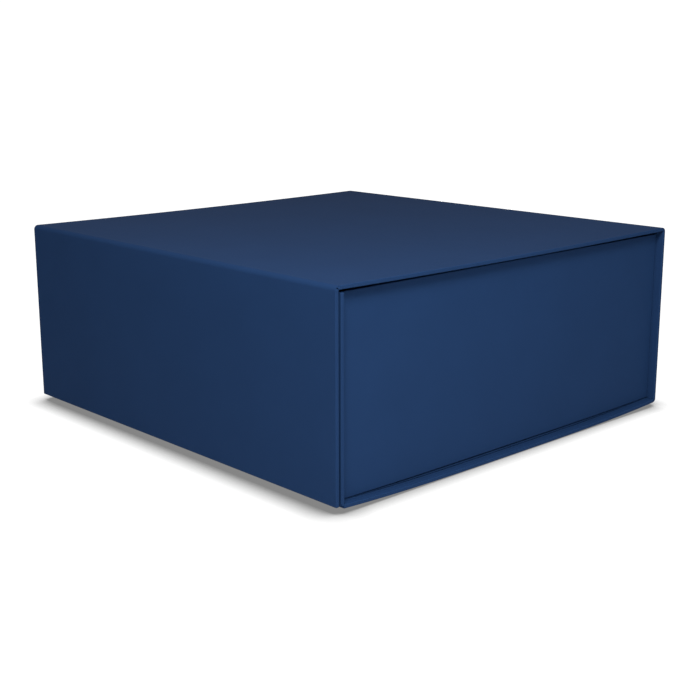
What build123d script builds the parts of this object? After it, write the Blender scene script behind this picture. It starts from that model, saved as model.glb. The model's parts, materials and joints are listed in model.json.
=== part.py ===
"""A folding gift box with a magnetic front flap, closed. Millimetres, +Z up.

The origin is on the table under the middle of the closed box. X runs across the box from one end
wall to the other, and the flap is on the -Y side. The flap, lid, spine, base and front wall are one
folded strip of wrapped greyboard, and the two end walls stand on the base inside that strip's rim.
"""

from build123d import *
import os

# --- the closed box -------------------------------------------------------------------------
BOX_WIDTH = 313.0  # along X, over the rim
BOX_DEPTH = 309.0  # along Y, from the flap's face to the spine's
BOX_HEIGHT = 127.5  # from the table to the lid's face

# --- materials and folds --------------------------------------------------------------------
BOARD = 2.0  # greyboard
PAPER = 0.2  # wrapping and lining paper
PANEL = BOARD + 2 * PAPER
FOLD_RADIUS = 3.0  # where the wrap goes round a fold, measured outside
NOSE_ANGLE = 36.0  # how far into a fold each board's crushed end reaches, in degrees
TURN_IN = 15.0  # the wrap's edge, folded over onto the inner face
LINER_MARGIN = 4.0  # how far the lining stays back from a wrapped edge

# --- gaps -----------------------------------------------------------------------------------
FLAP_GAP = 1.5  # between the closed flap and the front wall
FLAP_LIFT = 4.3  # between the flap's lower edge and the table
FRONT_TOP_GAP = 1.8  # between the front wall and the lid
END_RECESS = 5.2  # how far the end walls stand back from the rim
END_TOP_GAP = 2.6  # between an end wall and the lid
END_FOOT_GAP = 2.2  # between an end wall and the lining of the base, crossed by the foot hinge
END_SIDE_GAP = 0.3  # between an end wall and the lining beside it

# --- what holds the end walls up --------------------------------------------------------------
FOOT_HINGE_REACH = 6.5  # the paper hinge's leg on the base
FOOT_HINGE_RISE = 14.0  # and its leg on the end wall
FOOT_HINGE_INSET = 0.6  # how far it stands back from the end wall's face, in the gap
TAB_THICKNESS = 1.6
TAB_REACH = 28.0  # along X, from the end wall
TAB_FOOT = 6.0  # above the table
TAB_HEAD = 114.0
TAB_TAPER = 9.0  # cut off the tab's two far corners
TAPE_WIDTH = 15.0
TAPE_FOOT = 16.0
TAPE_HEAD = 104.0

# --- the closure ----------------------------------------------------------------------------
MAGNET_DIAMETER = 12.0
MAGNET_THICKNESS = 1.5
KEEPER_DIAMETER = 15.0
KEEPER_THICKNESS = 0.8
DISC_CLEARANCE = 0.1  # round each disc in its pocket
CLOSURE_SPAN = 190.0  # from one magnet to the other
CLOSURE_HEIGHT = 27.0  # above the table

# --- faces and levels that follow from the above -----------------------------------------------
HALF_WIDTH = BOX_WIDTH / 2
FLAP_FACE = -BOX_DEPTH / 2  # Y of the flap's outer face
SPINE_FACE = BOX_DEPTH / 2
FRONT_FACE = FLAP_FACE + PANEL + FLAP_GAP
FRONT_TOP = BOX_HEIGHT - PANEL - FRONT_TOP_GAP
END_FACE = HALF_WIDTH - END_RECESS  # X of the right end wall's outer face
LINING = PANEL + PAPER  # a panel's thickness where its lining laps over a turn-in
INNER_RADIUS = FOLD_RADIUS - PANEL
NOSE_RADIUS = FOLD_RADIUS - 2 * PAPER  # under the wrap and the lining that is glued to it

# --- directions -------------------------------------------------------------------------------
RIGHT, REAR, UP = Vector(1, 0, 0), Vector(0, 1, 0), Vector(0, 0, 1)
LEFT, FRONT, DOWN = -RIGHT, -REAR, -UP


def block(x_range, y_range, z_range):
    """A block between two limits on each axis."""
    sizes = [high - low for low, high in (x_range, y_range, z_range)]
    middle = [(low + high) / 2 for low, high in (x_range, y_range, z_range)]
    return Pos(*middle) * Box(*sizes)


def layer(width, y_range, top, thickness):
    """A flat layer of a panel, centred on X, with its outer side at the depth `top`."""
    return block((-width / 2, width / 2), y_range, (-top - thickness, -top))


def ring_sector(outer, inner, width, angle):
    """A sector of a ring about Z, from +X towards +Y, centred on its width."""
    on_axis = (Align.NONE, Align.NONE, Align.CENTER)
    disc = Cylinder(outer, width, arc_size=angle, align=on_axis)
    return disc - Cylinder(inner, 2 * width)


def nose_place(y, end):
    """The fold beside a panel that lies on XY, where its board's crushed end goes."""
    return Plane((0, y, -FOLD_RADIUS), x_dir=UP, z_dir=UP.cross(REAR * end))


def nose_core(y, end):
    """The crushed end of a board, curved into the fold beside it."""
    core = ring_sector(NOSE_RADIUS, INNER_RADIUS + PAPER, BOX_WIDTH - 2 * PAPER, NOSE_ANGLE)
    return nose_place(y, end) * core


def nose_sides(y, end):
    """The wrap on the two sides of a board's crushed end."""
    plate = ring_sector(NOSE_RADIUS, INNER_RADIUS, PAPER, NOSE_ANGLE)
    reach = HALF_WIDTH - PAPER / 2
    return [nose_place(y, end) * Pos(0, 0, offset) * plate for offset in (-reach, reach)]


def panel(name, width, height, foot_wrapped, head_wrapped, place):
    """The board, wrap and lining of one panel, keyed by node name.

    The panel is made lying on XY with its outer face up at z = 0, and `place` then stands it up.
    Both sides are wrapped. A foot or head that isn't wrapped runs on into a fold.
    """
    foot, head = int(foot_wrapped), int(head_wrapped)

    def inset(margin):
        return -height / 2 + margin * foot, height / 2 - margin * head

    board = layer(width - 2 * PAPER, inset(PAPER), PAPER, BOARD)
    window = layer(width - 2 * TURN_IN, inset(TURN_IN), PAPER + BOARD, PAPER)
    wrap = layer(width, inset(0), 0, PANEL) - board - window
    lap = layer(width - 2 * LINER_MARGIN, inset(LINER_MARGIN), PANEL, PAPER)
    step_in = TURN_IN + PAPER
    lining = window + (lap - layer(width - 2 * step_in, inset(step_in), PANEL, PAPER))
    for end, wrapped in ((-1, foot_wrapped), (1, head_wrapped)):
        if not wrapped:
            board += nose_core(end * height / 2, end)
            wrap += nose_sides(end * height / 2, end)
    return {
        f"{name}_board": place * board,
        f"{name}_wrap": place * wrap,
        f"{name}_liner": place * lining,
    }


def fold(name, centre_y, centre_z, towards_y, towards_z):
    """The wrap round one fold of the strip, and the lining glued to the back of it."""
    place = Plane((0, centre_y, centre_z), x_dir=towards_y, z_dir=towards_y.cross(towards_z))
    wrap = ring_sector(FOLD_RADIUS, FOLD_RADIUS - PAPER, BOX_WIDTH, 90)
    lining = ring_sector(FOLD_RADIUS - PAPER, NOSE_RADIUS, BOX_WIDTH - 2 * LINER_MARGIN, 90)
    return {f"{name}_fold_wrap": place * wrap, f"{name}_fold_liner": place * lining}


def upright(face_y, low, high, normal):
    """Where a panel stands that faces along Y, between two levels."""
    return Plane((0, face_y, (low + high) / 2), x_dir=RIGHT, z_dir=normal)


def strip_panels():
    """The five panels of the folded strip."""
    tangent_top = BOX_HEIGHT - FOLD_RADIUS  # the level where the lid's folds begin
    lid_run = BOX_DEPTH - 2 * FOLD_RADIUS
    base_front, base_rear = FRONT_FACE + FOLD_RADIUS, SPINE_FACE - FOLD_RADIUS
    lid_place = Plane((0, 0, BOX_HEIGHT), x_dir=RIGHT, z_dir=UP)
    base_place = Plane((0, (base_front + base_rear) / 2, 0), x_dir=RIGHT, z_dir=DOWN)
    flap_place = upright(FLAP_FACE, FLAP_LIFT, tangent_top, FRONT)
    front_place = upright(FRONT_FACE, FOLD_RADIUS, FRONT_TOP, FRONT)
    spine_place = upright(SPINE_FACE, FOLD_RADIUS, tangent_top, REAR)
    return {
        **panel("lid", BOX_WIDTH, lid_run, False, False, lid_place),
        **panel("flap", BOX_WIDTH, tangent_top - FLAP_LIFT, True, False, flap_place),
        **panel("spine", BOX_WIDTH, tangent_top - FOLD_RADIUS, False, False, spine_place),
        **panel("base", BOX_WIDTH, base_rear - base_front, False, False, base_place),
        **panel("front_wall", BOX_WIDTH, FRONT_TOP - FOLD_RADIUS, False, True, front_place),
    }


def strip_folds():
    """The four folds that join the strip's panels."""
    low, high = FOLD_RADIUS, BOX_HEIGHT - FOLD_RADIUS
    rear = SPINE_FACE - FOLD_RADIUS
    return {
        **fold("flap", FLAP_FACE + FOLD_RADIUS, high, FRONT, UP),
        **fold("lid", rear, high, REAR, UP),
        **fold("base_rear", rear, low, REAR, DOWN),
        **fold("base_front", FRONT_FACE + FOLD_RADIUS, low, FRONT, DOWN),
    }


def end_wall_span():
    """The Y limits of both end walls, between the linings of the front wall and the spine."""
    return FRONT_FACE + LINING + END_SIDE_GAP, SPINE_FACE - LINING - END_SIDE_GAP


def end_walls():
    """The two end walls, wrapped on all four edges."""
    front, rear = end_wall_span()
    foot = LINING + END_FOOT_GAP
    head = BOX_HEIGHT - PANEL - END_TOP_GAP
    middle_y, middle_z = (front + rear) / 2, (foot + head) / 2
    nodes = {}
    for name, outward, side in (("left_end", LEFT, -1), ("right_end", RIGHT, 1)):
        place = Plane((side * END_FACE, middle_y, middle_z), x_dir=REAR * side, z_dir=outward)
        nodes.update(panel(name, rear - front, head - foot, True, True, place))
    return nodes


def foot_hinges():
    """The paper hinge of each end wall: up its inner face, under its foot, and in along the base."""
    front, rear = end_wall_span()
    y_range = (front + LINER_MARGIN, rear - LINER_MARGIN)
    outer, inner = END_FACE - FOOT_HINGE_INSET, END_FACE - LINING
    foot = LINING + END_FOOT_GAP
    right = block((inner - PAPER, inner), y_range, (foot - PAPER, LINING + FOOT_HINGE_RISE))
    right += block((inner - PAPER, outer), y_range, (foot - PAPER, foot))
    right += block((outer - PAPER, outer), y_range, (LINING, foot))
    right += block((inner - FOOT_HINGE_REACH, outer), y_range, (LINING, LINING + PAPER))
    return {"right_foot_hinge": right, "left_foot_hinge": mirror(right, Plane.YZ)}


def corner_tab():
    """The front right corner tab: its outline on XZ, and its thickness away from the wall."""
    wall = END_FACE - PANEL
    tip = wall - TAB_REACH
    outline = Polyline(
        (wall, TAB_FOOT),
        (wall, TAB_HEAD),
        (tip + TAB_TAPER, TAB_HEAD),
        (tip, TAB_HEAD - TAB_TAPER),
        (tip, TAB_FOOT + TAB_TAPER),
        (tip + TAB_TAPER, TAB_FOOT),
        close=True,
    )
    return extrude(Plane.XZ * make_face(outline), -TAB_THICKNESS)


def tab_tape():
    """The tape under the front right tab, in the step beside the lining's lap."""
    outer_end = HALF_WIDTH - TURN_IN - 2 * PAPER
    return block((outer_end - TAPE_WIDTH, outer_end), (-PAPER, 0), (TAPE_FOOT, TAPE_HEAD))


def corner_tabs():
    """The four tabs that hold the end walls up, and the tape that holds each one down."""
    front, rear = FRONT_FACE + LINING, SPINE_FACE - LINING
    nodes = {}
    for name, shape in (("corner_tab", corner_tab()), ("tab_tape", tab_tape())):
        front_right = Pos(0, front, 0) * shape
        rear_right = Pos(0, rear, 0) * mirror(shape, Plane.XZ)
        for place, right in (("front", front_right), ("rear", rear_right)):
            nodes[f"{name}_right_{place}"] = right
            nodes[f"{name}_left_{place}"] = mirror(right, Plane.YZ)
    return nodes


def discs(diameter, thickness, face_y):
    """A pair of discs at the closure's places, reaching from face_y towards the rear."""
    disc = Rot(90, 0, 0) * Cylinder(diameter / 2, thickness)
    middle_y = face_y + thickness / 2
    return [Pos(x, middle_y, CLOSURE_HEIGHT) * disc for x in (-CLOSURE_SPAN / 2, CLOSURE_SPAN / 2)]


def add_closure(nodes):
    """Let the magnets into the flap's board and the keepers into the front wall's."""
    magnet_face = FLAP_FACE + PAPER + BOARD - MAGNET_THICKNESS
    keeper_face = FRONT_FACE + PAPER
    for board, name, diameter, thickness, face_y in (
        ("flap_board", "flap_magnets", MAGNET_DIAMETER, MAGNET_THICKNESS, magnet_face),
        ("front_wall_board", "front_wall_keepers", KEEPER_DIAMETER, KEEPER_THICKNESS, keeper_face),
    ):
        for pocket in discs(diameter + 2 * DISC_CLEARANCE, thickness, face_y):
            nodes[board] -= pocket
        nodes[name] = Compound(discs(diameter, thickness, face_y))


def main():
    nodes = {**strip_panels(), **strip_folds(), **end_walls(), **foot_hinges(), **corner_tabs()}
    add_closure(nodes)
    os.makedirs("parts", exist_ok=True)
    for name, shape in nodes.items():
        export_step(shape, f"parts/{name}.step")


main()
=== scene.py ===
"""The looks of the folding gift box: paper-wrapped panels, their folds and linings, and the studio."""

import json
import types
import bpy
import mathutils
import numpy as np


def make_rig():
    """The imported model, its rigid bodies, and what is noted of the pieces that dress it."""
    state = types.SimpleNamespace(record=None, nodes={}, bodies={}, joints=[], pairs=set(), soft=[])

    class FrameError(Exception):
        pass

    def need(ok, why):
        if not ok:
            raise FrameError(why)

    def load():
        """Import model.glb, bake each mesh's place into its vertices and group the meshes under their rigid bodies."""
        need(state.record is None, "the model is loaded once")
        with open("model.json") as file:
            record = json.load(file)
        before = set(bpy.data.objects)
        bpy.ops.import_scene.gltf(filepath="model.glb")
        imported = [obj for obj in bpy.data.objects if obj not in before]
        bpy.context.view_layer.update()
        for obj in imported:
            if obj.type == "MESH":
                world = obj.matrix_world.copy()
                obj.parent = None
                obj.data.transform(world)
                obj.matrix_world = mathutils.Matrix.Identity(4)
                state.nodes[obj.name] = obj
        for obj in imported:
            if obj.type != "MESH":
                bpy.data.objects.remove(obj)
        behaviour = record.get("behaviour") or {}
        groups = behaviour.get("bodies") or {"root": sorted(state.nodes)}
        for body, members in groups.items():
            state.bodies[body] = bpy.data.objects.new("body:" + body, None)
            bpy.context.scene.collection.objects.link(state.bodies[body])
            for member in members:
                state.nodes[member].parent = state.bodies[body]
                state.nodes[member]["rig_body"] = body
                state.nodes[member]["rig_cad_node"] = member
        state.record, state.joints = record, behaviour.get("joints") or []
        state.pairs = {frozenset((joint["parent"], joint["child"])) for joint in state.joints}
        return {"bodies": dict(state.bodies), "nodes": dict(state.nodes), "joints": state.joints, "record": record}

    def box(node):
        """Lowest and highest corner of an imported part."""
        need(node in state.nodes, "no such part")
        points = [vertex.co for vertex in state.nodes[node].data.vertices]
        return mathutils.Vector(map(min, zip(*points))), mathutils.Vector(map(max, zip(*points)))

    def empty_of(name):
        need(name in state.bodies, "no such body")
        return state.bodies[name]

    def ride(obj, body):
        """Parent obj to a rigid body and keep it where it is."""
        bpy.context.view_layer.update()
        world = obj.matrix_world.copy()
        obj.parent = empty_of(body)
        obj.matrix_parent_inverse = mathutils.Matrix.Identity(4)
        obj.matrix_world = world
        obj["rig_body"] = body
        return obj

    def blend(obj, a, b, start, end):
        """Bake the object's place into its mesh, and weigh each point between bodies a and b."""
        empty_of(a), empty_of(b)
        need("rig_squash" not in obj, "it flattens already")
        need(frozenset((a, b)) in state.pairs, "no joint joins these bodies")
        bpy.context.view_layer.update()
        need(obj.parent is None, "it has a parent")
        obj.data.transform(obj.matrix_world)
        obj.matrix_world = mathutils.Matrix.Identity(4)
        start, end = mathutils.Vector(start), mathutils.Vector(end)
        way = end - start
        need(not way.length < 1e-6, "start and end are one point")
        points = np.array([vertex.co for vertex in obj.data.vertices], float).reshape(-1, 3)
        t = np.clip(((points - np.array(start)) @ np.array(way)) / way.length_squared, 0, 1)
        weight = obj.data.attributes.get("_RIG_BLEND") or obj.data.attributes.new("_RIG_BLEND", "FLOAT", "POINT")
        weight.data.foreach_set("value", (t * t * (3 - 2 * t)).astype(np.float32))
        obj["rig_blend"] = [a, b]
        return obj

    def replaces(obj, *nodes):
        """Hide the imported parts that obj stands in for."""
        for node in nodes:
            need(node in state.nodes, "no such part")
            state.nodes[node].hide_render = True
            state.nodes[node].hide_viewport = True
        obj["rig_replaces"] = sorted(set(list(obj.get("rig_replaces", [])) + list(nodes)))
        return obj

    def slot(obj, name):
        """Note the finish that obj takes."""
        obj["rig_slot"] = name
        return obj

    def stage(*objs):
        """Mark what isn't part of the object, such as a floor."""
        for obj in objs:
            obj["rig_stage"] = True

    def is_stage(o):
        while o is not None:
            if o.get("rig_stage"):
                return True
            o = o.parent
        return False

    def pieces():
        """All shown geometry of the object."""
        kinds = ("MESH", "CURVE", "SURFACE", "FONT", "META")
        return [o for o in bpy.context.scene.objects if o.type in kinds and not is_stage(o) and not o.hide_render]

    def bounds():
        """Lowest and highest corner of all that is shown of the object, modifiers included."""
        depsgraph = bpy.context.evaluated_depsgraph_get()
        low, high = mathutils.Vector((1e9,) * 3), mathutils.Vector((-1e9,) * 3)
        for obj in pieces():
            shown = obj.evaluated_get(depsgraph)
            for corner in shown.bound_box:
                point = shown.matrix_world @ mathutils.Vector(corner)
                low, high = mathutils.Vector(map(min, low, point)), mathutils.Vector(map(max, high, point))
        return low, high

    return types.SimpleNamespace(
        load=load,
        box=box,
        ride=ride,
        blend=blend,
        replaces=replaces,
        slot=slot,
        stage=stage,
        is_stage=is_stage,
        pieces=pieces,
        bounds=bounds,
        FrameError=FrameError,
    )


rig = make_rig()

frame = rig.load()

import json
import math

import bmesh
import bpy
from mathutils import Matrix, Vector

CAD_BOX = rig.bounds()

# --- sizes, in metres ---------------------------------------------------------------------------
MM = 0.001
RIGHT, REAR, UP = Vector((1, 0, 0)), Vector((0, 1, 0)), Vector((0, 0, 1))


def extent(node, axis):
    """How far a CAD node reaches along one axis (0, 1 or 2)."""
    low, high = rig.box(node)
    return high[axis] - low[axis]


PAPER = extent("tab_tape_right_front", 1)  # every sheet of paper is as thick as the tape
PANEL = extent("right_end_wrap", 0)  # board and both papers
FOLD = extent("lid_fold_wrap", 1)  # outer radius of the four folds
HALF_WIDTH, HALF_DEPTH, HEIGHT = CAD_BOX[1]
TURN_IN = 15 * MM  # the wrap's edge, folded over onto the inner face
LINER_MARGIN = 4 * MM
EDGE = 0.45 * MM  # radius of the paper round a board's edge
NOSE_EDGE = 0.3 * MM
NOSE_ANGLE = 37.5  # degrees of a fold that a board's crushed end fills
STEP = 0.7 * MM  # width of the lining's step over a turn-in
BELLY = 2.7 * MM  # how far the middle of the base hangs below its two folds
END_SHARE = 0.4  # the share of that which the end walls' feet follow
SAG = 0.9 * MM  # how far the middle of the lid sags
GRID = 18 * MM  # spacing of the grid lines on a flat face
CURL = math.tan(math.radians(22.5))  # a grid line here rounds to half of a 45 degree arc

# --- colours, in linear light -----------------------------------------------------------------------
NAVY = (0.0125, 0.0345, 0.0950)
LINING_SHARE = 0.95  # the lining is a little duller than the wrap
BOARD_GREY = (0.33, 0.31, 0.28)
FLECK_DARK, FLECK_LIGHT = (0.22, 0.20, 0.18), (0.42, 0.40, 0.36)
TAPE_CREAM = (0.75, 0.73, 0.66)
PLATING, STEEL_GREY = (0.55, 0.55, 0.56), (0.42, 0.42, 0.43)
CLOUD = 0.025  # how far the paper's colour drifts either way

# --- the studio -------------------------------------------------------------------------------------
CAMERA_TURN = (47.284, 13.249, -0.169)  # azimuth, elevation and roll, in degrees
CAMERA_PLACE = Vector((1.9778, -1.8573, 0.7956))  # in widths of the box
LENS, SENSOR = 63.17, 36.0  # millimetres
SHIFT = (0.02, -0.02)
AMBIENT = 0.33  # the even light all round
WHITE = 1.1  # the floor and the background, over-exposed
FLOOR_REACH, FLOOR_GREY = 12.0, 0.6
PAINTED_SHADOW = 0.234  # painted shadow: how bright the floor glows where it touches the box
PAINTED_SHADOW_REACH = 20 * MM  # how far the painted shadow reaches round the box
PAINTED_SHADOW_RAMP = (0.5, 1.0)  # shares of open sky over which the painted shadow fades
SOFT_BOXES = (  # name, place, what it faces, size and watts
    ("key", (0.45, -0.42, 0.60), (0.12, -0.12, 0.10), (0.25, 0.25), 6.3),
    ("fill", (0.80, -0.10, 0.30), (0.15, -0.05, 0.06), (0.35, 0.35), 1.16),
    ("rear", (-0.80, 0.75, 0.07), (0.0, 0.0, 0.06), (0.6, 0.08), 7.0),
)


# --- the slack of real board --------------------------------------------------------------------
def belly(point, share=1.0):
    """A point of the tray, raised the nearer it is to a fold, as the base hangs down between them."""
    reach = min(abs(point.y) / (HALF_DEPTH - FOLD), 1)
    return point + UP * (BELLY * share * reach ** 3.2 * (1 - point.z / HEIGHT))


def end_belly(point):
    """A point of an end wall, which is a stiff board and follows the base only in part."""
    return belly(point, END_SHARE)


def sag(point):
    """A point of the lid, which sags between its two folds."""
    return point - UP * (SAG * max(0, 1 - (point.y / (HALF_DEPTH - FOLD)) ** 2))


def taut(point):
    """A point that stays where it is."""
    return point


# --- grids and closed shells ----------------------------------------------------------------------
def even_lines(low, high, spacing=GRID):
    """Evenly spaced places strictly between low and high."""
    count = max(1, round((high - low) / spacing))
    return [low + (high - low) * i / count for i in range(1, count)]


def edge_lines(low, high, round_low, round_high, between=(), radius=EDGE):
    """Grid lines along one axis as (place, share of the edge radius), three at each round edge."""
    start, end = low + radius * round_low, high - radius * round_high
    first = [(start, -1), (start, -CURL), (start, 0)] if round_low else [(start, 0)]
    last = [(end, 0), (end, CURL), (end, 1)] if round_high else [(end, 0)]
    return first + [(place, 0) for place in sorted(between)] + last


def box_faces(counts):
    """The quads on a box of grid lines, each as (axis, on its high side, four grid keys)."""
    for axis in range(3):
        a, b = (axis + 1) % 3, (axis + 2) % 3
        for side in (0, counts[axis] - 1):
            for i in range(counts[a] - 1):
                for j in range(counts[b] - 1):
                    corners = []
                    for step_a, step_b in ((0, 0), (1, 0), (1, 1), (0, 1)):
                        key = [side, side, side]
                        key[a], key[b] = i + step_a, j + step_b
                        corners.append(tuple(key))
                    yield axis, side > 0, corners


def rounded(point, core, radius):
    """A grid point of a box, moved onto the skin of that radius round the core box."""
    near = Vector([min(max(c, low), high) for c, (low, high) in zip(point, core)])
    away = Vector(point) - near
    return near + away.normalized() * radius if away.length > 0 else near


def rounded_box(lines, keep=None, radius=EDGE, thickness=0.0):
    """Points and faces of a box with round edges on three lists of grid lines.

    `keep(axis, high side, centre)` says which faces stay. With a thickness, the box is a shell,
    closed along the border of what was left out.
    """
    core = [(axis_lines[0][0], axis_lines[-1][0]) for axis_lines in lines]
    points, faces, index, uses = [], [], {}, {}

    def vertex(layer, key):
        if (layer, key) not in index:
            index[layer, key] = len(points)
            skin = radius - layer * thickness
            pairs = [axis_lines[i] for axis_lines, i in zip(lines, key)]
            points.append(rounded([place + share * skin for place, share in pairs], core, skin))
        return index[layer, key]

    for axis, high, corners in box_faces([len(axis_lines) for axis_lines in lines]):
        places = [[lines[a][key[a]][0] for key in corners] for a in range(3)]
        if keep and not keep(axis, high, [sum(p) / 4 for p in places]):
            continue
        for layer in (0, 1) if thickness else (0,):
            faces.append([vertex(layer, key) for key in corners])
        for pair in zip(corners, corners[1:] + corners[:1]):
            edge = tuple(sorted(pair))
            uses[edge] = uses.get(edge, 0) + 1
    if thickness:
        for (a, b), count in uses.items():
            if count == 1:
                faces.append([vertex(0, a), vertex(0, b), vertex(1, b), vertex(1, a)])
    return points, faces


def sheet(across, along, point):
    """Points and faces of a closed sheet of paper; point(a, b, side) places both its sides."""
    width, length = len(across), len(along)
    points = [point(a, b, side) for side in (0, 1) for b in along for a in across]
    half = width * length

    def at(i, j, side):
        return side * half + j * width + i

    faces = []
    for side in (0, 1):
        for j in range(length - 1):
            for i in range(width - 1):
                faces.append([at(i, j, side), at(i + 1, j, side),
                              at(i + 1, j + 1, side), at(i, j + 1, side)])
    rim = [(i, 0) for i in range(width)] + [(width - 1, j) for j in range(1, length)]
    rim += [(i, length - 1) for i in range(width - 2, -1, -1)]
    rim += [(0, j) for j in range(length - 2, 0, -1)]
    for (i, j), (k, m) in zip(rim, rim[1:] + rim[:1]):
        faces.append([at(i, j, 0), at(k, m, 0), at(k, m, 1), at(i, j, 1)])
    return points, faces


def new_piece(name, parts, material, slack):
    """One object made of several (points, faces, place) parts, where place maps a point to the row."""
    points, faces = [], []
    for part_points, part_faces, place in parts:
        faces += [[i + len(points) for i in face] for face in part_faces]
        points += [slack(place(p)) for p in part_points]
    mesh = bpy.data.meshes.new(name)
    mesh.from_pydata(points, [], faces)
    clean = bmesh.new()
    clean.from_mesh(mesh)
    bmesh.ops.recalc_face_normals(clean, faces=clean.faces)
    clean.to_mesh(mesh)
    clean.free()
    mesh.shade_smooth()
    mesh.set_sharp_from_angle(angle=math.radians(50))
    mesh.materials.append(material)
    piece = bpy.data.objects.new(name, mesh)
    bpy.context.scene.collection.objects.link(piece)
    flat = piece.modifiers.new("flat faces stay flat", "WEIGHTED_NORMAL")
    flat.keep_sharp = True
    return piece


# --- materials --------------------------------------------------------------------------------------
def new_material(name, colour, roughness, specular=0.5, metallic=0.0):
    """A material with its shader's own numbers set; returns (material, nodes, links, shader)."""
    material = bpy.data.materials.new(name)
    material.use_nodes = True
    tree = material.node_tree
    shader = tree.nodes["Principled BSDF"]
    shader.inputs["Base Color"].default_value = (*colour, 1)
    shader.inputs["Roughness"].default_value = roughness
    shader.inputs["Specular IOR Level"].default_value = specular
    shader.inputs["Metallic"].default_value = metallic
    return material, tree.nodes, tree.links, shader


def noise(nodes, links, scale, detail=2.0, stretch=(1, 1, 1)):
    """A noise texture on the object's own coordinates, `scale` per metre."""
    place = nodes.new("ShaderNodeTexCoord")
    mapping = nodes.new("ShaderNodeMapping")
    mapping.inputs["Scale"].default_value = stretch
    texture = nodes.new("ShaderNodeTexNoise")
    texture.inputs["Scale"].default_value = scale
    texture.inputs["Detail"].default_value = detail
    links.new(place.outputs["Object"], mapping.inputs["Vector"])
    links.new(mapping.outputs["Vector"], texture.inputs["Vector"])
    return texture.outputs["Fac"]


def ramp(nodes, links, factor, low, high, start=0.3, end=0.7):
    """A two-colour ramp over a factor."""
    node = nodes.new("ShaderNodeValToRGB")
    node.color_ramp.elements[0].position, node.color_ramp.elements[0].color = start, (*low, 1)
    node.color_ramp.elements[1].position, node.color_ramp.elements[1].color = end, (*high, 1)
    links.new(factor, node.inputs["Fac"])
    return node.outputs["Color"]


def span(nodes, links, factor, low, high):
    """A factor of 0 to 1 stretched to run from low to high."""
    node = nodes.new("ShaderNodeMapRange")
    node.inputs["To Min"].default_value, node.inputs["To Max"].default_value = low, high
    links.new(factor, node.inputs["Value"])
    return node.outputs["Result"]


def bump(nodes, links, shader, heights, strength, distance):
    """Bump on a shader from several heights added together."""
    total = heights[0]
    for height in heights[1:]:
        add = nodes.new("ShaderNodeMath")
        add.operation = "ADD"
        links.new(total, add.inputs[0])
        links.new(height, add.inputs[1])
        total = add.outputs["Value"]
    node = nodes.new("ShaderNodeBump")
    node.inputs["Strength"].default_value = strength
    node.inputs["Distance"].default_value = distance
    links.new(total, node.inputs["Height"])
    links.new(node.outputs["Normal"], shader.inputs["Normal"])


def paper(name, colour, roughness, specular):
    """Laminated paper: a faint cloud of colour, a fine grain, and a slight unevenness of the board."""
    material, nodes, links, shader = new_material(name, colour, roughness, specular)
    cloud = noise(nodes, links, 28, 4)
    darker, lighter = [c * (1 - CLOUD) for c in colour], [c * (1 + CLOUD) for c in colour]
    links.new(ramp(nodes, links, cloud, darker, lighter), shader.inputs["Base Color"])
    grain = noise(nodes, links, 3800, 2)
    links.new(span(nodes, links, grain, roughness - 0.05, roughness + 0.05), shader.inputs["Roughness"])
    fibre = noise(nodes, links, 1500, 3, (1, 0.45, 0.7))
    bump(nodes, links, shader, [grain, fibre], 0.12, 0.02 * MM)
    return material


def greyboard():
    """Grey recycled board, with darker and lighter flecks of fibre."""
    material, nodes, links, shader = new_material("greyboard", BOARD_GREY, 0.9, 0.2)
    flecks = noise(nodes, links, 900, 6, (1, 0.5, 1))
    links.new(ramp(nodes, links, flecks, FLECK_DARK, FLECK_LIGHT), shader.inputs["Base Color"])
    bump(nodes, links, shader, [flecks], 0.4, 0.05 * MM)
    return material


def tape():
    """Double-sided tape under its pale release colour."""
    material, nodes, links, shader = new_material("tape", TAPE_CREAM, 0.35)
    ripple = noise(nodes, links, 260, 3)
    links.new(span(nodes, links, ripple, 0.25, 0.5), shader.inputs["Roughness"])
    return material


def metal(name, colour, roughness):
    """Plated metal with a fine turned grain."""
    material, nodes, links, shader = new_material(name, colour, roughness, 0.5, 1.0)
    grain = noise(nodes, links, 2500, 2, (1, 8, 1))
    links.new(span(nodes, links, grain, roughness * 0.7, roughness * 1.4), shader.inputs["Roughness"])
    return material


WRAP = paper("wrap_paper", NAVY, 0.55, 0.017)
LINING = paper("lining_paper", [c * LINING_SHARE for c in NAVY], 0.62, 0.017)
GREYBOARD = greyboard()
TAPE = tape()
MAGNET = metal("magnet_plating", PLATING, 0.22)
STEEL = metal("keeper_steel", STEEL_GREY, 0.38)


# --- panels -------------------------------------------------------------------------------------------
class Panel:
    """Where a panel lies: `place` maps (across, along, up from the outer face) to the row."""

    def __init__(self, name, body, slack, normal, foot_wrapped, head_wrapped, along=UP):
        self.name, self.body, self.slack = name, body, slack
        self.foot_wrapped, self.head_wrapped = foot_wrapped, head_wrapped
        across = along.cross(normal)
        low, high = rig.box(f"{name}_liner")
        centre, size = (low + high) / 2, high - low
        half_across = abs(size.dot(across)) / 2
        half_along = abs(size.dot(along)) / 2
        middle = centre.dot(along)
        self.half_width = half_across + LINER_MARGIN
        self.low = -half_along - LINER_MARGIN * foot_wrapped
        self.high = half_along + LINER_MARGIN * head_wrapped
        face = max(corner.dot(normal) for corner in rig.box(f"{name}_wrap"))
        origin = across * centre.dot(across) + along * middle + normal * face
        self.matrix = Matrix((across, along, normal)).transposed().to_4x4()
        self.matrix.translation = origin

    def place(self, point):
        return self.matrix @ Vector(point)

    def window(self, inset=0.0):
        """The window in the turn-in, as (half width, low, high)."""
        margin = TURN_IN + inset
        return (self.half_width - margin, self.low + margin * self.foot_wrapped,
                self.high - margin * self.head_wrapped)


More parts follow.
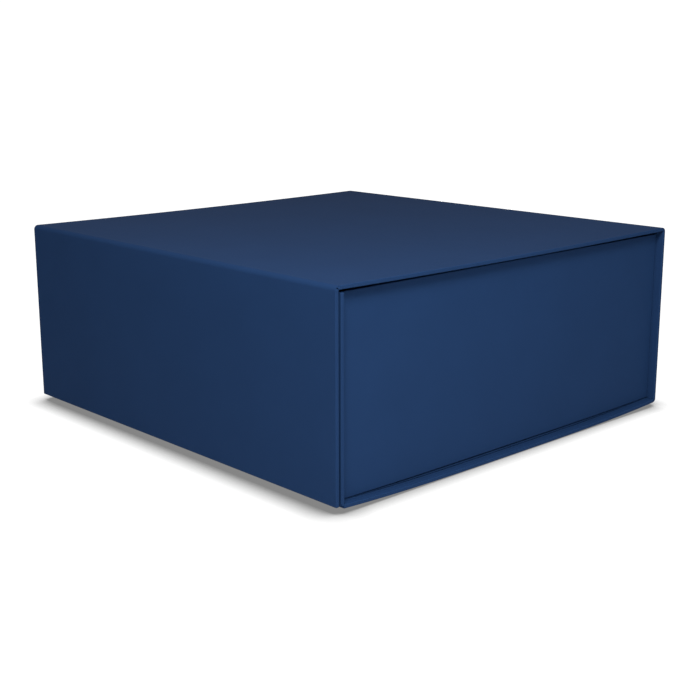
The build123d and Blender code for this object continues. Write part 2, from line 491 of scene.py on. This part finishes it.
def panel_board(panel):
    """The plain board inside a panel's wrap."""
    reach = panel.half_width - PAPER
    foot = panel.low + PAPER * panel.foot_wrapped
    head = panel.high - PAPER * panel.head_wrapped
    lines = [
        edge_lines(-reach, reach, False, False, even_lines(-reach, reach)),
        edge_lines(foot, head, False, False, even_lines(foot, head)),
        edge_lines(PAPER - PANEL, -PAPER, False, False),
    ]
    return (*rounded_box(lines, radius=0), panel.place)


def panel_wrap(panel):
    """The wrap on one panel: over its face, round its edges, and turned in behind."""
    half, low, high = panel.window()

    def keep(axis, high_side, centre):
        if axis == 1:
            return panel.head_wrapped if high_side else panel.foot_wrapped
        behind = axis == 2 and not high_side
        return not (behind and abs(centre[0]) < half and low < centre[1] < high)

    across = even_lines(-half, half) + [-half, half]
    along = even_lines(low, high)
    along += [low] * panel.foot_wrapped + [high] * panel.head_wrapped
    lines = [
        edge_lines(-panel.half_width, panel.half_width, True, True, across),
        edge_lines(panel.low, panel.high, panel.foot_wrapped, panel.head_wrapped, along),
        edge_lines(-PANEL, 0, True, True),
    ]
    return (*rounded_box(lines, keep, thickness=PAPER), panel.place)


def step_lines(place, outward):
    """Grid lines through the lining's step, which ends at the turn-in's edge."""
    return [place - outward * STEP * share for share in (0, 0.3, 0.5, 0.7, 1)]


def lap(distance):
    """How far the lining has stepped up, from 0 to 1, at a distance beyond the turn-in's edge."""
    share = min(max(1 + distance / STEP, 0), 1)
    return share * share * (3 - 2 * share)


def panel_lining(panel):
    """The lining of one panel, which steps up where it laps the turn-in."""
    half, low, high = panel.window()
    limit = panel.half_width - LINER_MARGIN
    across = [-limit, limit, *even_lines(-half + STEP, half - STEP)]
    across += step_lines(half, 1) + step_lines(-half, -1)
    foot = panel.low + LINER_MARGIN * panel.foot_wrapped
    head = panel.high - LINER_MARGIN * panel.head_wrapped
    along = [foot, head, *even_lines(low + STEP, high - STEP)]
    along += step_lines(low, -1) if panel.foot_wrapped else []
    along += step_lines(high, 1) if panel.head_wrapped else []

    def point(a, b, side):
        beyond = abs(a) - half
        beyond = max(beyond, low - b) if panel.foot_wrapped else beyond
        beyond = max(beyond, b - high) if panel.head_wrapped else beyond
        return a, b, -PANEL - PAPER * (lap(beyond) - side)

    return (*sheet(sorted(across), sorted(along), point), panel.place)


# --- folds --------------------------------------------------------------------------------------------
def fold_place(centre, start, end):
    """A map from (x, degrees round the fold, up from its outer face) to the row."""

    def place(point):
        x, angle, height = point
        turn = math.radians(angle)
        out = start * math.cos(turn) + end * math.sin(turn)
        return centre + RIGHT * x + out * (FOLD + height)

    return place


def fold_wrap(place):
    """The wrap round a fold, down to where its two side edges have turned in."""

    def keep(axis, high_side, centre):
        return axis == 2 and high_side or axis == 0 and centre[2] > -EDGE

    across = even_lines(-HALF_WIDTH, HALF_WIDTH)
    lines = [
        edge_lines(-HALF_WIDTH, HALF_WIDTH, True, True, across),
        [(angle, 0) for angle in range(0, 91, 6)],
        edge_lines(-PANEL, 0, True, True),
    ]
    return (*rounded_box(lines, keep, thickness=PAPER), place)


def fold_lining(place):
    """The lining glued to the back of the wrap in a fold."""
    limit = HALF_WIDTH - LINER_MARGIN
    across = [-limit, *even_lines(-limit, limit), limit]

    def point(a, b, side):
        return a, b, -PAPER * (1 + side)

    return (*sheet(across, list(range(0, 91, 6)), point), place)


def nose(place, from_start):
    """A board's crushed and wrapped end, in a fold."""
    start, end = (0, NOSE_ANGLE) if from_start else (90 - NOSE_ANGLE, 90)
    across = even_lines(-HALF_WIDTH, HALF_WIDTH)
    lines = [
        edge_lines(-HALF_WIDTH, HALF_WIDTH, True, True, across, NOSE_EDGE),
        [(start + (end - start) * i / 6, 0) for i in range(7)],
        edge_lines(-PANEL, -1.9 * PAPER, True, True, (), NOSE_EDGE),
    ]
    return (*rounded_box(lines, radius=NOSE_EDGE), place)


def build_strip():
    """The folded strip's five panels and the four folds between them."""
    panels = {p.name: p for p in (
        Panel("lid", "lid", sag, UP, False, False, REAR),
        Panel("flap", "flap", taut, -REAR, True, False),
        Panel("spine", "tray", belly, REAR, False, False),
        Panel("base", "tray", belly, -UP, False, False, REAR),
        Panel("front_wall", "tray", belly, -REAR, False, True),
    )}
    folds = (
        ("flap_fold", "lid", UP, "flap", -REAR),
        ("lid_fold", "lid", UP, "spine", REAR),
        ("base_rear_fold", "base", -UP, "spine", REAR),
        ("base_front_fold", "base", -UP, "front_wall", -REAR),
    )
    wraps = {name: [panel_wrap(panel)] for name, panel in panels.items()}
    for name, first, start, second, end in folds:
        low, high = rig.box(f"{name}_wrap")
        centre = (low + high) / 2 - (start + end) * (FOLD / 2)
        place = fold_place(Vector((0, centre.y, centre.z)), start, end)
        wraps[first].append(nose(place, True))
        wraps[second].append(nose(place, False))
        bodies = (panels[first].body, panels[second].body)
        slack = belly if first == "base" else taut
        for kind, part, material, depth in (
            ("wrap", fold_wrap(place), WRAP, 0),
            ("liner", fold_lining(place), LINING, -PAPER),
        ):
            piece = new_piece(f"{name}_{kind}_paper", [part], material, slack)
            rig.replaces(piece, f"{name}_{kind}")
            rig.slot(piece, "wrap_paper" if kind == "wrap" else "lining_paper")
            if bodies[0] == bodies[1]:
                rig.ride(piece, bodies[0])
            else:
                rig.blend(piece, *bodies, start=place((0, 0, depth)), end=place((0, 90, depth)))
    for name, panel in panels.items():
        finish_panel(panel, wraps[name])


def finish_panel(panel, wrap_parts):
    """A panel's board, wrap and lining as pieces that ride on its body."""
    for kind, parts, material, slot in (
        ("wrap", wrap_parts, WRAP, "wrap_paper"),
        ("liner", [panel_lining(panel)], LINING, "lining_paper"),
        ("board", [panel_board(panel)], GREYBOARD, "greyboard"),
    ):
        if kind == "board" and panel.slack is taut:
            continue  # the CAD board, with its pockets, is already in its place
        piece = new_piece(f"{panel.name}_{kind}_piece", parts, material, panel.slack)
        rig.replaces(piece, f"{panel.name}_{kind}")
        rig.slot(piece, slot)
        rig.ride(piece, panel.body)


def build_end_walls():
    """The two end walls, wrapped on all four edges."""
    for name, normal in (("left_end", -RIGHT), ("right_end", RIGHT)):
        panel = Panel(name, "tray", end_belly, normal, True, True)
        finish_panel(panel, [panel_wrap(panel)])


def build_foot_hinges():
    """The paper hinge of each end wall: down its inner face, out under its foot, and in again."""
    for name, side in (("left_foot_hinge", -1), ("right_foot_hinge", 1)):
        low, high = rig.box(name)
        outer = max(abs(low.x), abs(high.x))
        tip = min(abs(low.x), abs(high.x))
        foot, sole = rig.box("right_end_wrap")[0].z, low.z
        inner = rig.box("right_end_liner")[0].x
        bend = (
            (inner, high.z),
            (inner, foot),
            (inner + 0.1 * MM, foot - 0.5 * MM),
            (inner + 0.5 * MM, foot - 0.8 * MM),
            (outer - 0.6 * MM, foot - 0.8 * MM),
            (outer - 0.15 * MM, foot - 1.0 * MM),
            (outer, foot - 1.4 * MM),
            (outer, sole + 0.5 * MM),
            (outer - 0.3 * MM, sole + 0.15 * MM),
            (outer - 1.0 * MM, sole + PAPER),
            (tip, sole + PAPER),
        )

        def point(a, b, layer):
            x, z = bend[b]
            before, after = Vector(bend[max(b - 1, 0)]), Vector(bend[min(b + 1, len(bend) - 1)])
            run = (after - before).normalized()
            x, z = x + run.y * PAPER * layer, z - run.x * PAPER * layer
            return side * x, a, z

        across = [low.y, *even_lines(low.y, high.y), high.y]
        part = (*sheet(across, range(len(bend)), point), Vector)
        piece = new_piece(f"{name}_paper", [part], LINING, hinge_slack)
        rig.replaces(piece, name)
        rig.slot(piece, "lining_paper")
        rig.ride(piece, "tray")


def hinge_slack(point):
    """A point of a foot hinge, which follows the base below and the end wall above."""
    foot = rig.box("right_end_wrap")[0].z
    below = min(max(foot - point.z, 0) / (foot - PANEL), 1)
    return belly(point, END_SHARE + (1 - END_SHARE) * below)


def give_cad_nodes_materials():
    """The finish of every CAD node that still shows."""
    for name, node in frame["nodes"].items():
        material = LINING
        if name.endswith("_board"):
            material = GREYBOARD
        elif name.startswith("tab_tape"):
            material = TAPE
        elif name == "flap_magnets":
            material = MAGNET
        elif name == "front_wall_keepers":
            material = STEEL
        node.data.materials.clear()
        node.data.materials.append(material)


# --- studio -------------------------------------------------------------------------------------------
def build_camera():
    """The camera, seen from the front right corner and a little above."""
    azimuth, elevation, roll = (math.radians(a) for a in CAMERA_TURN)
    back = Vector((
        math.sin(azimuth) * math.cos(elevation),
        -math.cos(azimuth) * math.cos(elevation),
        math.sin(elevation),
    ))
    level = Vector((math.cos(azimuth), math.sin(azimuth), 0))
    above = back.cross(level)
    across = level * math.cos(roll) + above * math.sin(roll)
    data = bpy.data.cameras.new("camera")
    data.sensor_width, data.lens = SENSOR, LENS
    data.shift_x, data.shift_y = SHIFT
    camera = bpy.data.objects.new("camera", data)
    camera.matrix_world = Matrix((across, back.cross(across), back)).transposed().to_4x4()
    camera.location = CAMERA_PLACE * 2 * HALF_WIDTH
    bpy.context.scene.collection.objects.link(camera)
    bpy.context.scene.camera = camera


def add_area_light(name, place, target, size, power):
    """A soft box at a place, facing a target."""
    data = bpy.data.lights.new(name, "AREA")
    data.shape, data.size, data.size_y = "RECTANGLE", *size
    data.energy = power
    light = bpy.data.objects.new(name, data)
    light.location = place
    light.rotation_euler = (Vector(target) - Vector(place)).to_track_quat("-Z", "Y").to_euler()
    bpy.context.scene.collection.objects.link(light)


def camera_switch(nodes, links, seen, otherwise, out):
    """Mix two shaders so that the camera sees one and the light that bounces meets the other."""
    path = nodes.new("ShaderNodeLightPath")
    mix = nodes.new("ShaderNodeMixShader")
    links.new(path.outputs["Is Camera Ray"], mix.inputs["Fac"])
    links.new(otherwise, mix.inputs[1])
    links.new(seen, mix.inputs[2])
    links.new(mix.outputs["Shader"], out)


def build_floor():
    """A floor that glows white to the camera, with a soft painted shadow close round whatever stands on it."""
    mesh = bpy.data.meshes.new("floor")
    corners = [(FLOOR_REACH * x, FLOOR_REACH * y, 0) for x, y in ((-1, -1), (1, -1), (1, 1), (-1, 1))]
    mesh.from_pydata(corners, [], [(0, 1, 2, 3)])
    floor = bpy.data.objects.new("floor", mesh)
    bpy.context.scene.collection.objects.link(floor)
    material, nodes, links, shader = new_material("floor", [FLOOR_GREY] * 3, 1.0, 0.0)
    # painted shadow: the camera sees the floor glow, dimmer where an ambient occlusion node finds less open sky; no
    # lamp casts it
    open_sky = nodes.new("ShaderNodeAmbientOcclusion")
    open_sky.inputs["Distance"].default_value = PAINTED_SHADOW_REACH
    level = ramp(nodes, links, open_sky.outputs["AO"], [PAINTED_SHADOW] * 3, [WHITE] * 3, *PAINTED_SHADOW_RAMP)
    painted_glow = nodes.new("ShaderNodeEmission")
    links.new(level, painted_glow.inputs["Color"])
    out = nodes["Material Output"].inputs["Surface"]
    camera_switch(nodes, links, painted_glow.outputs["Emission"], shader.outputs["BSDF"], out)
    mesh.materials.append(material)
    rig.stage(floor)


def build_world():
    """A white background, and a dimmer even light all round."""
    world = bpy.data.worlds.new("studio")
    world.use_nodes = True
    nodes, links = world.node_tree.nodes, world.node_tree.links
    dim = nodes["Background"]
    dim.inputs["Color"].default_value = (1, 1, 1, 1)
    dim.inputs["Strength"].default_value = AMBIENT
    white = nodes.new("ShaderNodeBackground")
    white.inputs["Color"].default_value = (1, 1, 1, 1)
    white.inputs["Strength"].default_value = WHITE
    out = nodes["World Output"].inputs["Surface"]
    camera_switch(nodes, links, white.outputs["Background"], dim.outputs["Background"], out)
    bpy.context.scene.world = world


def build_studio():
    """The floor, the surround, and three soft boxes.

    The key hangs above the near corner, and a weaker fill stands at the right. The rear one is
    lower than the box, so when that is closed it lights only the faces turned from the camera.
    """
    build_floor()
    build_world()
    for soft_box in SOFT_BOXES:
        add_area_light(*soft_box)
    bpy.context.scene.view_settings.view_transform = "Standard"


build_strip()
build_end_walls()
build_foot_hinges()
give_cad_nodes_materials()
build_camera()
build_studio()

with open("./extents.json", "w") as size_file:
    json.dump([[list(corner) for corner in box] for box in (CAD_BOX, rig.bounds())], size_file)
